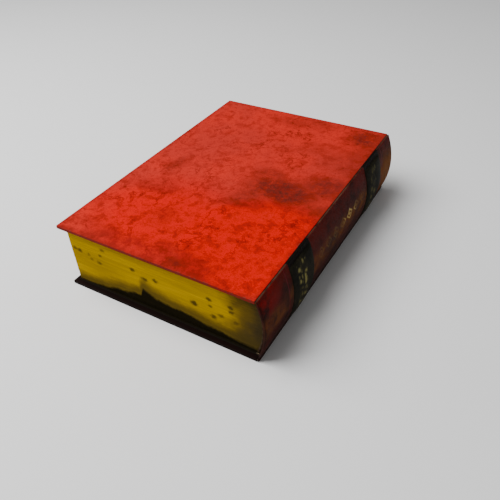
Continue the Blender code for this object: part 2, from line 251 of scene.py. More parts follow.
# ---------------------------------------------------------------- node materials
class Look:
    """One procedural material, built node by node, on object coordinates in metres unless told otherwise."""

    def __init__(self, name, roughness=0.6, specular=0.4):
        self.material = bpy.data.materials.new(name)
        self.material.use_nodes = True
        self.nodes = self.material.node_tree.nodes
        self.links = self.material.node_tree.links
        self.shader = self.nodes["Principled BSDF"]
        self.shader.inputs["Roughness"].default_value = roughness
        self.shader.inputs["Specular IOR Level"].default_value = specular
        self.coords = self.nodes.new("ShaderNodeTexCoord").outputs["Object"]
        self.split = None

    def put(self, socket, value):
        """Link a socket to a node's output, or set its value."""
        if isinstance(value, bpy.types.NodeSocket):
            self.links.new(value, socket)
        elif isinstance(value, tuple) and len(value) == 3 and len(socket.default_value) == 4:
            socket.default_value = (*value, 1.0)
        else:
            socket.default_value = value

    def use_rest_place(self):
        """Take the coordinates from each vertex's place with the book shut."""
        node = self.nodes.new("ShaderNodeAttribute")
        node.attribute_name = "rest_place"
        self.coords = node.outputs["Vector"]

    def axis(self, name):
        if self.split is None:
            self.split = self.nodes.new("ShaderNodeSeparateXYZ")
            self.links.new(self.coords, self.split.inputs[0])
        return self.split.outputs[name]

    def facing(self, name):
        """A component of the surface's own normal in the piece's frame."""
        geometry = self.nodes.new("ShaderNodeTexCoord")
        parts = self.nodes.new("ShaderNodeSeparateXYZ")
        self.links.new(geometry.outputs["Normal"], parts.inputs[0])
        return parts.outputs[name]

    def math(self, operation, a, b=0.0, c=0.0, clamp=False):
        node = self.nodes.new("ShaderNodeMath")
        node.operation = operation
        node.use_clamp = clamp
        for socket, value in zip(node.inputs, (a, b, c)):
            self.put(socket, value)
        return node.outputs[0]

    def mapped(self, scale=(1.0, 1.0, 1.0), place=(0.0, 0.0, 0.0), vector=None):
        node = self.nodes.new("ShaderNodeMapping")
        node.inputs["Scale"].default_value = scale
        node.inputs["Location"].default_value = place
        self.put(node.inputs["Vector"], self.coords if vector is None else vector)
        return node.outputs[0]

    def noise(self, scale, detail=3.0, rough=0.5, warp=0.0, vector=None):
        node = self.nodes.new("ShaderNodeTexNoise")
        node.inputs["Scale"].default_value = scale
        node.inputs["Detail"].default_value = detail
        node.inputs["Roughness"].default_value = rough
        node.inputs["Distortion"].default_value = warp
        self.put(node.inputs["Vector"], self.coords if vector is None else vector)
        return node.outputs["Fac"]

    def warped(self, amount, scale, detail=2.0):
        """The coordinates pushed about by a noise, for lines and blots that wander."""
        node = self.nodes.new("ShaderNodeTexNoise")
        node.inputs["Scale"].default_value = scale
        node.inputs["Detail"].default_value = detail
        self.links.new(self.coords, node.inputs["Vector"])
        centre = self.nodes.new("ShaderNodeVectorMath")
        centre.operation = "SUBTRACT"
        self.links.new(node.outputs["Color"], centre.inputs[0])
        centre.inputs[1].default_value = (0.5, 0.5, 0.5)
        push = self.nodes.new("ShaderNodeVectorMath")
        push.operation = "MULTIPLY_ADD"
        self.links.new(centre.outputs[0], push.inputs[0])
        push.inputs[1].default_value = (amount, amount, amount)
        self.links.new(self.coords, push.inputs[2])
        return push.outputs[0]

    def cells(self, scale, feature="DISTANCE_TO_EDGE", vector=None):
        node = self.nodes.new("ShaderNodeTexVoronoi")
        node.feature = feature
        node.inputs["Scale"].default_value = scale
        node.inputs["Randomness"].default_value = 1.0
        self.put(node.inputs["Vector"], self.coords if vector is None else vector)
        return node.outputs["Distance"]

    def band(self, value, low, high, out_low=0.0, out_high=1.0, smooth=True):
        """value carried from low..high to out_low..out_high, and held there outside."""
        node = self.nodes.new("ShaderNodeMapRange")
        node.interpolation_type = "SMOOTHSTEP" if smooth else "LINEAR"
        node.inputs["From Min"].default_value = low
        node.inputs["From Max"].default_value = high
        node.inputs["To Min"].default_value = out_low
        node.inputs["To Max"].default_value = out_high
        self.put(node.inputs["Value"], value)
        return node.outputs["Result"]

    def mix(self, factor, a, b):
        node = self.nodes.new("ShaderNodeMix")
        node.data_type = "RGBA"
        node.blend_type = "MIX"
        self.put(node.inputs["Factor"], factor)
        self.put(node.inputs[6], a)
        self.put(node.inputs[7], b)
        return node.outputs[2]

    def stain(self, colour, mask, strength, tone):
        """The colour carried towards the tone where the mask is 1, by no more than the strength."""
        return self.mix(self.math("MULTIPLY", mask, strength), colour, tone)

    def product(self, *masks):
        """The masks multiplied together."""
        total = masks[0]
        for mask in masks[1:]:
            total = self.math("MULTIPLY", total, mask)
        return total

    def union(self, masks):
        """The greatest of the masks at each point."""
        total = masks[0]
        for mask in masks[1:]:
            total = self.math("MAXIMUM", total, mask)
        return total

    def away_from(self, value, place):
        """How far a value is from a place, on either side of it."""
        return self.math("ABSOLUTE", self.math("SUBTRACT", value, place))

    def blot(self, x, y, rx, ry, vector, soft=0.6, axes=("X", "Y")):
        """1 inside an ellipse at (x, y) in metres, falling smoothly to 0 at its rim."""
        parts = self.nodes.new("ShaderNodeSeparateXYZ")
        self.put(parts.inputs[0], vector)
        dx = self.math("DIVIDE", self.math("SUBTRACT", parts.outputs[axes[0]], x), rx)
        dy = self.math("DIVIDE", self.math("SUBTRACT", parts.outputs[axes[1]], y), ry)
        squared = self.math("ADD", self.math("MULTIPLY", dx, dx), self.math("MULTIPLY", dy, dy))
        return self.band(self.math("SQRT", squared), 1.0, 1.0 - soft)

    def curve(self, value, points, low, high, out_scale):
        """A smooth curve through (place, height) points, both in metres, of which the two ends come first."""
        node = self.nodes.new("ShaderNodeFloatCurve")
        self.put(node.inputs["Value"], self.band(value, low, high, smooth=False))
        line = node.mapping.curves[0]
        for i, (place, height) in enumerate(points):
            spot = ((place - low) / (high - low), height / out_scale)
            if i < 2:
                line.points[0 if i == 0 else -1].location = spot
            else:
                line.points.new(*spot)
        node.mapping.update()
        return self.math("MULTIPLY", node.outputs[0], out_scale)

    def bump(self, height, strength, distance, after=None):
        node = self.nodes.new("ShaderNodeBump")
        node.inputs["Strength"].default_value = strength
        node.inputs["Distance"].default_value = distance
        self.put(node.inputs["Height"], height)
        if after is not None:
            self.links.new(after, node.inputs["Normal"])
        return node.outputs[0]

    def done(self, colour, normal=None, roughness=None):
        self.put(self.shader.inputs["Base Color"], colour)
        if roughness is not None:
            self.put(self.shader.inputs["Roughness"], roughness)
        if normal is not None:
            self.links.new(normal, self.shader.inputs["Normal"])
        return self.material


def from_outline(look, x_fore, half_height, x_spine=None):
    """How far the point is, in metres, from the sheet's nearest edge."""
    from_fore = look.math("SUBTRACT", look.axis("X"), x_fore)
    from_end = look.math("SUBTRACT", half_height, look.math("ABSOLUTE", look.axis("Y")))
    near = look.math("MINIMUM", from_fore, from_end)
    if x_spine is not None:
        near = look.math("MINIMUM", near, look.math("SUBTRACT", x_spine, look.axis("X")))
    return near


# ---------------------------------------------------------------- the covers' red paper
def red_with_painted_sheen(look, wander, mottle, cloud):
    """Dull to warm red, paled pink by a painted sheen, and vivid towards the tail, where the painted sheen
    gives way.
    """
    colour = look.mix(look.band(cloud, 0.35, 0.65), DULL_RED_WITH_SHEEN, WARM_RED_WITH_SHEEN)
    by_spine = look.blot(0.048, -0.068, 0.066, 0.060, wander, 0.32)
    middle = look.blot(-0.016, -0.074, 0.086, 0.064, wander, 0.65)
    vivid = look.union([by_spine, look.math("MULTIPLY", middle, 0.88)])
    return look.mix(look.product(vivid, look.band(mottle, 0.34, 0.45, 0.86, 1.0)), colour, VIVID_RED)


def smoke_stained(look, colour, wander, mottle, fleck):
    """Brown smoke stains, uneven with the paper's own mottling."""
    patches = [look.math("MULTIPLY", look.blot(x, y, rx, ry, wander, 0.75), amount)
               for x, y, rx, ry, amount in SMOKE_PATCHES]
    smoke = look.product(look.union(patches), look.band(mottle, 0.34, 0.54, 0.45, 1.0),
                         look.band(fleck, 0.35, 0.60, 0.75, 1.0))
    return look.stain(colour, smoke, 0.96, SMOKE_BROWN)


def paper_veins(look, mottle, fine_wander):
    """Long wandering veins, with fainter small ones and a fainter crackle between them."""
    long_veins = look.band(look.away_from(look.noise(40.0, 5.0, 0.62, 0.3), 0.5), 0.024, 0.002)
    long_veins = look.product(long_veins, look.band(look.noise(30.0, 3.0, 0.6), 0.44, 0.60, 0.05, 1.0))
    small_veins = look.band(look.away_from(look.noise(105.0, 3.0, 0.6, 0.2), 0.5), 0.028, 0.004)
    small_veins = look.product(small_veins, look.band(mottle, 0.44, 0.60))
    crackle = look.band(look.cells(150.0, vector=fine_wander), 0.0, 0.05, 1.0, 0.0)
    crackle = look.product(crackle, look.band(look.noise(42.0, 2.0), 0.46, 0.66))
    return look.union([long_veins, look.math("MULTIPLY", look.union([small_veins, crackle]), 0.38)])


def figured(look, colour, veins, fleck, grit, fine_wander):
    """The paper's own figure: patches, flecks, veins, specks and grit."""
    patches = look.band(look.noise(115.0, 5.0, 0.68, vector=fine_wander), 0.54, 0.34)
    tailward = look.band(look.axis("Y"), 0.030, -0.050, 0.46, 0.62)
    colour = look.mix(look.product(patches, tailward), colour, PATCH_RED)
    colour = look.stain(colour, look.band(fleck, 0.48, 0.36), 0.32, FLECK_RED)
    colour = look.stain(colour, veins, 0.55, VEIN_BROWN)
    specks = look.noise(240.0, 3.0, 0.7, vector=look.mapped(place=(3.0, 1.0, 2.0)))
    colour = look.stain(colour, look.band(specks, 0.66, 0.74), 0.75, SPECK_BROWN)
    colour = look.mix(look.band(grit, 0.52, 0.34, 0.0, 0.30), colour, GRIT_DARK)
    return look.mix(look.band(grit, 0.58, 0.74, 0.0, 0.16), colour, GRIT_LIGHT)


def tail_mottled(look, colour, mottle, cloud):
    """Crimson-brown mottling along the tail."""
    along = look.math("ADD", look.axis("Y"), look.band(cloud, 0.3, 0.7, -0.010, 0.010))
    mask = look.product(look.band(along, -0.096, -0.110), look.band(mottle, 0.38, 0.60, 0.25, 1.0),
                        look.band(look.axis("X"), 0.052, 0.030))
    return look.stain(colour, mask, 0.60, TAIL_CRIMSON)


def red_paper(name, with_soot_and_shade=False):
    """Crackled red paper, vivid towards the tail, dull with a painted sheen and smoke-stained elsewhere,
    rubbed at its edges.
    """
    look = Look(name, roughness=0.62, specular=0.03)
    look.shader.inputs["Specular Tint"].default_value = (1.0, 0.25, 0.15, 1.0)
    wander = look.warped(0.024, 26.0, 4.0)
    fine_wander = look.warped(0.008, 110.0, 3.0)
    mottle = look.noise(70.0, 5.0, 0.7)
    cloud = look.noise(16.0, 4.0, 0.6)
    fleck = look.noise(300.0, 5.0, 0.75)
    grit = look.noise(1300.0, 2.0, 0.6)
    veins = paper_veins(look, mottle, fine_wander)

    colour = red_with_painted_sheen(look, wander, mottle, cloud)
    colour = smoke_stained(look, colour, wander, mottle, fleck)
    colour = figured(look, colour, veins, fleck, grit, fine_wander)
    colour = tail_mottled(look, colour, mottle, cloud)

    # Duller at the margin, rubbed at the very edge, and dull red on the board's upright edges
    ragged = look.band(look.noise(210.0, 5.0, 0.75), 0.3, 0.7, -0.0010, 0.0012)
    near = look.math("ADD", from_outline(look, X_FORE, HALF_HEIGHT, X_EDGE), ragged)
    colour = look.stain(colour, look.band(near, 0.0050, 0.0), 0.45, MARGIN_RED)
    colour = look.stain(colour, look.band(near, 0.0003, -0.0006), 0.65, RUBBED_SOOTY_SHADED if with_soot_and_shade else RUBBED_RED)
    upright = look.band(look.math("ABSOLUTE", look.facing("Z")), 0.75, 0.30)
    colour = look.stain(colour, upright, 0.80, BOARD_EDGE_RED)
    # On the back cover, soot and painted shade: dark in clouds, near black towards its edges
    if with_soot_and_shade:
        blurred = look.math("ADD", near, look.band(mottle, 0.3, 0.7, -0.006, 0.006))
        soot_and_shade_mask = look.union([look.math("MULTIPLY", look.band(cloud, 0.30, 0.62), 0.75),
                           look.band(blurred, 0.034, 0.008)])
        colour = look.stain(colour, soot_and_shade_mask, 0.992, COVER_SOOT_AND_SHADE)

    normal = look.bump(grit, 0.30, 0.00006)
    normal = look.bump(fleck, 0.25, 0.00012, normal)
    normal = look.bump(veins, 0.40, -0.00008, normal)
    return look.done(colour, normal, look.band(mottle, 0.3, 0.7, 0.52, 0.70))


# ---------------------------------------------------------------- the leaves' edges and faces
def edge_spots(look):
    """Dark spots: placed ones on the tail edge, scattered ones on the other two."""
    wander = look.warped(0.0032, 420.0, 2.0)
    placed = []
    for x, z, size, amount in TAIL_SPOTS:
        spot = look.blot(x * MM, z * MM, size * MM, 0.8 * size * MM, wander, 0.75, ("X", "Z"))
        placed.append(look.math("MULTIPLY", spot, amount))
    at_tail = look.band(look.axis("Y"), -Y_LEAVES + 0.003, -Y_LEAVES + 0.001)
    dots = look.cells(1.0, "F1", look.mapped((170.0, 170.0, 270.0), vector=wander))
    dots = look.product(look.band(dots, 0.50, 0.24), look.band(look.noise(30.0, 2.0), 0.50, 0.62))
    scattered = look.product(dots, look.math("SUBTRACT", 1.0, at_tail))
    return look.math("ADD", look.product(look.union(placed), at_tail), scattered, clamp=True)


def page_edges(name):
    """Cut leaf edges, stained yellow, spotted, browned by the spine, and dark at their foot."""
    look = Look(name, roughness=0.9, specular=0.01)
    look.use_rest_place()
    strata = look.noise(1.0, 3.0, 0.6, vector=look.mapped((25.0, 25.0, 2600.0)))
    broad = look.noise(1.0, 3.0, 0.5, vector=look.mapped((14.0, 14.0, 150.0)))
    yellow = look.mix(look.band(strata, 0.30, 0.70), YELLOW_LOW, YELLOW_HIGH)
    yellow = look.mix(look.band(broad, 0.32, 0.58, 0.70, 0.0), yellow, YELLOW_DULL)
    yellow = look.stain(yellow, edge_spots(look), 0.90, SPOT_BROWN)

    # Browned towards the spine
    edge_x = look.math("ADD", look.axis("X"), look.band(look.noise(60.0, 3.0), 0.3, 0.7, -0.005, 0.005))
    yellow = look.stain(yellow, look.band(edge_x, 0.045, 0.063), 0.92, EDGE_BROWN)
    yellow = look.stain(yellow, look.band(edge_x, 0.060, 0.076), 0.90, BY_SPINE_BROWN)

    # Dark at the foot below an uneven line, with a brown band above it
    line = look.curve(look.axis("X"), FOOT_DARK_LINE, -FOOT_DARK_REACH, FOOT_DARK_REACH, FOOT_DARK_SCALE)
    ragged = look.band(look.noise(110.0, 4.0, 0.65), 0.25, 0.75, -0.0014, 0.0014)
    above = look.math("SUBTRACT", look.math("ADD", look.axis("Z"), ragged), line)
    yellow = look.stain(yellow, look.band(above, 0.0150, 0.0035), 0.85, DUSK_BROWN)
    yellow = look.stain(yellow, look.band(above, 0.0024, -0.0006), 0.97, PAGE_FOOT_DARK)

    normal = look.bump(strata, 0.2, 0.00010)
    normal = look.bump(look.noise(900.0, 3.0, 0.6), 0.15, 0.00006, normal)
    return look.done(yellow, normal)


def leaf_faces(name, colour):
    """Aged paper, foxed, browned at its margins, stained yellow at its rim and dark at its margin where it
    lies lowest.
    """
    look = Look(name, roughness=0.9, specular=0.05)
    look.use_rest_place()
    fox = look.band(look.noise(95.0, 4.0, 0.7), 0.60, 0.72)
    face = look.mix(look.band(look.noise(22.0, 4.0, 0.6), 0.3, 0.7, 0.0, 0.5), colour, PAPER_AGED)
    face = look.stain(face, fox, 0.35, FOXING)
    ragged = look.band(look.noise(200.0, 3.0), 0.3, 0.7, -0.0015, 0.0015)
    near = look.math("ADD", from_outline(look, X_LEAVES, Y_LEAVES), ragged)
    face = look.mix(look.band(near, 0.010, 0.0, 0.0, 0.45), face, MARGIN_BROWN)
    face = look.mix(look.band(near, 0.0020, 0.0004, 0.0, 0.8), face, RIM_YELLOW)
    low_margin = look.product(look.band(near, 0.0050, 0.0025), look.band(look.axis("Z"), 0.0070, 0.0045))
    face = look.stain(face, low_margin, 0.97, PAGE_FOOT_DARK)
    return look.done(face, look.bump(look.noise(900.0, 3.0, 0.6), 0.15, 0.00006))


# ---------------------------------------------------------------- leather
def grain_bump(look, cell_scale=900.0, depth=0.00010, strength=0.5):
    """Leather's pebbled grain."""
    pebble = look.cells(cell_scale, "DISTANCE_TO_EDGE", look.warped(0.0006, 700.0))
    pebble = look.band(pebble, 0.0, 0.25)
    normal = look.bump(pebble, strength, depth)
    creases = look.noise(140.0, 5.0, 0.7, 0.6)
    return look.bump(creases, 0.35, 0.0003, normal)


def line_across(look, place, width):
    """1 on a narrow line around the spine at this place along the book."""
    return look.band(look.away_from(look.axis("Y"), place), width, width * 0.4)


def spine_ornament(look):
    """A faded gilt ornament along the middle panel: lozenges and dots, rubbed away but for two."""
    parts = look.nodes.new("ShaderNodeSeparateXYZ")
    look.put(parts.inputs[0], look.warped(0.0022, 240.0, 2.0))
    along = look.math("PINGPONG", look.math("ADD", parts.outputs["Y"], 0.2035), 0.0065)
    across = look.away_from(parts.outputs["Z"], 0.0345)
    lozenge = look.math("ADD", look.math("MULTIPLY", along, 0.9), across)
    ring = look.band(look.away_from(lozenge, 0.0040), 0.0013, 0.0003)
    heart = look.band(lozenge, 0.0022, 0.0010)
    panel = look.product(look.band(look.axis("Y"), -0.040, -0.034), look.band(look.axis("Y"), 0.046, 0.040),
                         look.band(across, 0.0072, 0.0060))
    left = look.band(look.noise(140.0, 4.0, 0.7, vector=look.warped(0.008, 60.0, 3.0)), 0.34, 0.50)
    strong = look.blot(0.0175, 0.0345, 0.015, 0.014, look.coords, 0.6, ("Y", "Z"))
    left = look.product(left, look.math("ADD", look.math("MULTIPLY", strong, 0.85), 0.15))
    return look.product(look.union([ring, heart]), panel, left)


def spine_leather_look(name):
    """Dark maroon leather, rubbed to tan on the round and at the head, where the tan is partly a painted
    sheen, with a faded gilt ornament.
    """
    look = Look(name, roughness=0.6, specular=0.02)
    cloud = look.noise(45.0, 5.0, 0.65)
    colour = look.mix(look.band(cloud, 0.3, 0.7), MAROON_LOW, MAROON_HIGH)

    # Redder beside the front joint and at the tail, where the dye has kept
    near_joint = look.band(look.axis("Z"), 0.030, 0.052)
    tail_end = look.band(look.axis("Y"), -0.085, -0.112)
    keep = look.product(near_joint, look.math("ADD", look.math("MULTIPLY", tail_end, 0.9), 0.25))
    colour = look.mix(look.product(keep, look.band(cloud, 0.35, 0.6)), colour, MAROON_KEPT)

    # Worn to tan on the round, and more so at the head, where the tan is partly a painted sheen
    high = look.band(look.away_from(look.axis("Z"), 0.031), 0.011, 0.003)
    patchy = look.band(look.noise(85.0, 5.0, 0.7), 0.40, 0.62, 0.15, 1.0)
    headward = look.band(look.axis("Y"), -0.060, 0.110, 0.55, 1.0)
    head_wear_and_sheen = look.product(look.band(look.axis("Y"), 0.086, 0.094), look.band(look.axis("Z"), 0.052, 0.034),
                            look.band(cloud, 0.30, 0.60, 0.5, 1.0))
    worn = look.union([look.product(high, patchy, headward), head_wear_and_sheen])
    colour = look.stain(colour, worn, 0.80, WORN_TAN_AND_SHEEN)

    blind = look.union([line_across(look, place, 0.0006) for place in BLIND_LINES])
    colour = look.stain(colour, blind, 0.5, BLIND_LINE)
    gilt = spine_ornament(look)
    colour = look.mix(gilt, colour, SPINE_GILT)
    colour = look.mix(label_shadow(look), colour, BLACK_LEATHER)

    # Dark at the turned-in ends, and a painted shade at the foot
    turned = look.band(look.math("ABSOLUTE", look.axis("Y")), HALF_HEIGHT - 0.0016, HALF_HEIGHT - 0.0004)
    colour = look.stain(colour, turned, 0.6, TURNED_DARK)
    colour = look.stain(colour, look.band(look.axis("Z"), 0.014, 0.002), 0.8, SPINE_FOOT_SHADE)

    normal = look.bump(gilt, 0.3, 0.00005, grain_bump(look))
    normal = look.bump(blind, 0.6, -0.0002, normal)
    return look.done(colour, normal, look.band(worn, 0.0, 1.0, 0.45, 0.70))


def label_shadow(look):
    """1 where the labels' black leather runs on up over the joint."""
    spans = []
    for low, high in LABEL_SPANS:
        offset = look.away_from(look.axis("Y"), (low + high) / 2)
        spans.append(look.band(offset, (high - low) / 2 + 0.0003, (high - low) / 2 - 0.0008))
    return look.product(look.union(spans), look.band(look.axis("Z"), 0.0490, 0.0500, 0.0, 0.97))


def label_look(name, columns, brightness):
    """Black label leather with columns of worn gilt dabs."""
    look = Look(name, roughness=0.55, specular=0.015)
    cloud = look.noise(90.0, 4.0, 0.65)
    colour = look.mix(look.band(cloud, 0.3, 0.7), LABEL_LOW, LABEL_HIGH)
    dabs = look.cells(1.0, "F1", look.mapped((240.0, 220.0, 240.0), vector=look.warped(0.0016, 300.0)))
    gilt = look.union([line_across(look, place, 0.0033) for place in columns])
    kept = look.band(look.noise(120.0, 4.0, 0.7), 0.36, 0.56)
    ends = look.product(look.band(look.axis("Z"), 0.006, 0.012), look.band(look.axis("Z"), 0.0505, 0.0480))
    gilt = look.product(look.band(dabs, 0.66, 0.26), gilt, kept, ends, brightness)
    colour = look.mix(gilt, colour, LABEL_GILT)
    rub = look.band(look.noise(60.0, 5.0, 0.7), 0.56, 0.72)
    colour = look.stain(colour, rub, 0.35, LABEL_RUBBED)
    normal = look.bump(gilt, 0.3, 0.00004, grain_bump(look, 1100.0, 0.00008, 0.4))
    return look.done(colour, normal)


def simple_leather(name, colour_low, colour_high):
    """Plain leather, black where it runs into the labels."""
    look = Look(name, roughness=0.6, specular=0.02)
    look.use_rest_place()
    cloud = look.noise(60.0, 5.0, 0.7)
    colour = look.mix(look.band(cloud, 0.35, 0.65), colour_low, colour_high)
    colour = look.mix(label_shadow(look), colour, BLACK_LEATHER)
    return look.done(colour, grain_bump(look))


# ---------------------------------------------------------------- cloth, thread, paper and board
def woven(name, colour_low, colour_high, pitch):
    """Plain-woven linen."""
    look = Look(name, roughness=0.9, specular=0.15)
    diagonal = look.math("ADD", look.axis("X"), look.axis("Z"))
    threads = look.product(*[look.math("SINE", look.math("MULTIPLY", place, math.tau / pitch))
                             for place in (look.axis("Y"), diagonal)])
    colour = look.mix(look.band(threads, -0.6, 0.6), colour_low, colour_high)
    colour = look.mix(look.band(look.noise(80.0, 4.0), 0.45, 0.75, 0.0, 0.5), colour, (0.20, 0.13, 0.07))
    return look.done(colour, look.bump(threads, 0.6, 0.0001))


def striped_thread(name):
    """An endband's wound threads, dull brown and cream."""
    look = Look(name, roughness=0.9, specular=0.02)
    wind = look.math("SINE", look.math("MULTIPLY", look.axis("Z"), math.tau / 0.0009))
    stripe = look.math("SINE", look.math("MULTIPLY", look.axis("Z"), math.tau / 0.0054))
    colour = look.mix(look.band(stripe, -0.2, 0.2), (0.036, 0.020, 0.011), (0.062, 0.040, 0.021))
    colour = look.mix(look.band(wind, 0.2, -0.9, 0.0, 0.6), colour, (0.018, 0.012, 0.008))
    colour = look.mix(look.band(look.noise(120.0, 4.0), 0.4, 0.7, 0.0, 0.6), colour, (0.05, 0.032, 0.018))
    return look.done(colour, look.bump(wind, 0.8, 0.00015))


def endpaper_look(name, colour_low, colour_high, with_soot_and_shade=False):
    """Aged endpaper, browned round its margins."""
    look = Look(name, roughness=0.9, specular=0.02)
    cloud = look.noise(24.0, 5.0, 0.65)
    colour = look.mix(look.band(cloud, 0.3, 0.7), colour_low, colour_high)
    fox = look.band(look.noise(95.0, 4.0, 0.7), 0.60, 0.72)
    colour = look.stain(colour, fox, 0.4, FOXING)
    ragged = look.band(look.noise(120.0, 3.0), 0.3, 0.7, -0.003, 0.003)
    near = look.math("ADD", from_outline(look, X_FORE, HALF_HEIGHT), ragged)
    colour = look.mix(look.band(near, 0.020, 0.004, 0.0, 0.55), colour, ENDPAPER_BROWN)
    # Soot and painted shade towards the back pastedown's edges
    if with_soot_and_shade:
        colour = look.mix(look.band(near, 0.0130, 0.0080, 0.0, 0.985), colour, ENDPAPER_SOOT_AND_SHADE)
    return look.done(colour, look.bump(look.noise(800.0, 3.0, 0.6), 0.2, 0.00006))


def mottled(name, colour_low, colour_high, roughness):
    """Plain paper or board, a little uneven in tone."""
    look = Look(name, roughness=roughness, specular=0.2)
    colour = look.mix(look.band(look.noise(120.0, 5.0, 0.7), 0.3, 0.7), colour_low, colour_high)
    return look.done(colour, look.bump(look.noise(900.0, 3.0, 0.6), 0.3, 0.0001))


# ---------------------------------------------------------------- the leaves as one stack
def stratum_levels(low, high):
    """Heights and insets up the stack: each stratum has two lips, and a groove parts it from the next."""
    levels = []
    shift = 0.0
    for k in range(STRATA):
        z0 = low + (high - low) * k / STRATA
        z1 = low + (high - low) * (k + 1) / STRATA
        if k % 6 == 0:
            shift = random.uniform(0.0, 0.10) * MM
        inset = shift + random.uniform(0.0, 0.09) * MM
        per_section = STRATA / SECTIONS
        section_ends = int(k / per_section) != int((k + 1) / per_section)
        lip = (z1 - z0) * 0.16
        levels.append((z0 + lip, inset))
        levels.append((z1 - lip, inset))
        if k < STRATA - 1:
            levels.append((z1, inset + (0.16 if section_ends else 0.07) * MM))
    levels[0] = (low, levels[0][1])
    levels[-1] = (high, levels[-1][1])
    return levels


def leaf_outline(inset, back, back_end):
    """The stack's outline at one height, as x and y, once round from the tail's fore corner."""
    across, along, back_steps = 46, 60, 26
    back_half = 0.102
    fore = X_LEAVES + inset
    end = Y_LEAVES - inset * 0.8
    outline = [(fore + (back_end - fore) * i / across, -end) for i in range(across + 1)]
    outline += [(back, -back_half + 2 * back_half * i / back_steps) for i in range(back_steps + 1)]
    outline += [(back_end + (fore - back_end) * i / across, end) for i in range(across)]
    outline += [(fore, end - 2 * end * i / along) for i in range(along)]
    return outline


def leaf_block():
    """The sections' leaves: many thin strata with ragged edges, rounded at the back to the spine's arc."""
    low, high = LAST_LOW[2], FIRST_HIGH[2]
    calm = 4.0 * MM
    rings = []
    for z, inset in stratum_levels(low, high):
        window = min(1.0, (z - low) / calm, (high - z) / calm)
        ring = []
        for x, y in leaf_outline(inset, spine_x(3.0 * MM, z), spine_x(2.0 * MM, z)):
            wave = noise.noise(Vector((x * 30, y * 30, z * 160))) * 0.22 * MM * window
            ring.append((x, y, z + wave))
        rings.append(ring)
    return tube_grid("leaf_block", rings)


# ---------------------------------------------------------------- the spine's skin
def spine_skin():
    """The leather over the round back, turned in at head and tail, a little uneven from wear."""
    heights = [0.4 * MM + (3.0 - 0.4) * MM * i / 4 for i in range(4)]
    heights += [ARC_LOW + (ARC_HIGH - 0.4 * MM - ARC_LOW) * i / 44 for i in range(45)]
    steps = 150
    rings = []
    for j in range(steps + 1):
        y = -HALF_HEIGHT + 2 * HALF_HEIGHT * j / steps
        from_end = HALF_HEIGHT - abs(y)
        curl = 0.55 * MM * (1 - min(1.0, from_end / (1.8 * MM))) ** 2
        thick = SPINE_SKIN_TURNED_IN if from_end < 12 * MM else SPINE_SKIN
        outer, inner = [], []
        for z in heights:
            uneven = noise.noise(Vector((y * 55, z * 70, 0.3))) * 0.10 * MM
            uneven -= 0.10 * MM
            if z < ARC_LOW:
                outer.append((X_JOINT - curl + min(0.0, uneven), y, z))
                inner.append((X_JOINT - SPINE_SKIN, y, z))
            else:
                x0, z0 = arc_point(curl - uneven * min(1.0, (z - ARC_LOW) / (4 * MM)), z)
                x1, z1 = arc_point(thick if 5.5 * MM < z < 51.5 * MM else SPINE_SKIN, z)
                outer.append((x0, y, z0))
                inner.append((x1, y, z1))
        rings.append(outer + inner[::-1])
    return tube_grid("spine_skin", rings)


def label_band(name, node):
    """A raised label, pillowed across its width, that wraps the spine."""
    low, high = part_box(node)
    centre = (low[1] + high[1]) / 2
    half = (high[1] - low[1]) / 2
    rise = high[0] - LEATHER_HIGH[0]
    z_low, z_high = 5.0 * MM, 50.4 * MM
    rings = []
    steps = 36
    for j in range(steps + 1):
        t = -1 + 2 * j / steps
        y = centre + half * t
        swell = max(0.0, 1 - abs(t) ** 2.6) ** 0.62
        outer, inner = [], []
        for i in range(41):
            s = i / 40
            z = z_low + (z_high - z_low) * s
            end = min(1.0, min(s, 1 - s) / 0.05)
            end = math.sqrt(max(0.0, 1 - (1 - end) ** 2))
            wear = 1 + 0.10 * noise.noise(Vector((y * 120, z * 90, 5.0)))
            up = rise * swell * end * min(1.0, wear) * 0.98
            outer.append((*arc_point(-up, z), y))
            inner.append((*arc_point(0.25 * MM, z), y))
        ring = [(x, y, z) for x, z, y in outer + inner[::-1]]
        rings.append(ring)
    return tube_grid(name, rings)


def strip(name, path, ys, thickness):
    """A thin sheet along Y whose section follows path, (x, z) points."""
    normals = []
    for i in range(len(path)):
        a = path[max(0, i - 1)]
        b = path[min(len(path) - 1, i + 1)]
        d = Vector((b[0] - a[0], b[1] - a[1])).normalized()
        normals.append(Vector((-d.y, d.x)))
    count = 60
    rings = []
    for j in range(count + 1):
        y = ys[0] + (ys[1] - ys[0]) * j / count
        top = [(p[0], y, p[1]) for p in path]
        under = [(p[0] - n.x * thickness, y, p[1] - n.y * thickness) for p, n in zip(path, normals)]
        rings.append(top + under[::-1])
    return tube_grid(name, rings)


def smooth_path(points, steps):
    """A Catmull-Rom curve through points."""
    out = []
    for i in range(len(points) - 1):
        p0 = points[max(0, i - 1)]
        p1, p2 = points[i], points[i + 1]
        p3 = points[min(len(points) - 1, i + 2)]
        for k in range(steps):
            t = k / steps
            out.append(tuple(
                0.5 * (2 * p1[c] + (p2[c] - p0[c]) * t + (2 * p0[c] - 5 * p1[c] + 4 * p2[c] - p3[c]) * t * t
                       + (3 * p1[c] - p0[c] - 3 * p2[c] + p3[c]) * t**3)
                for c in range(2)))
    out.append(points[-1])
    return out


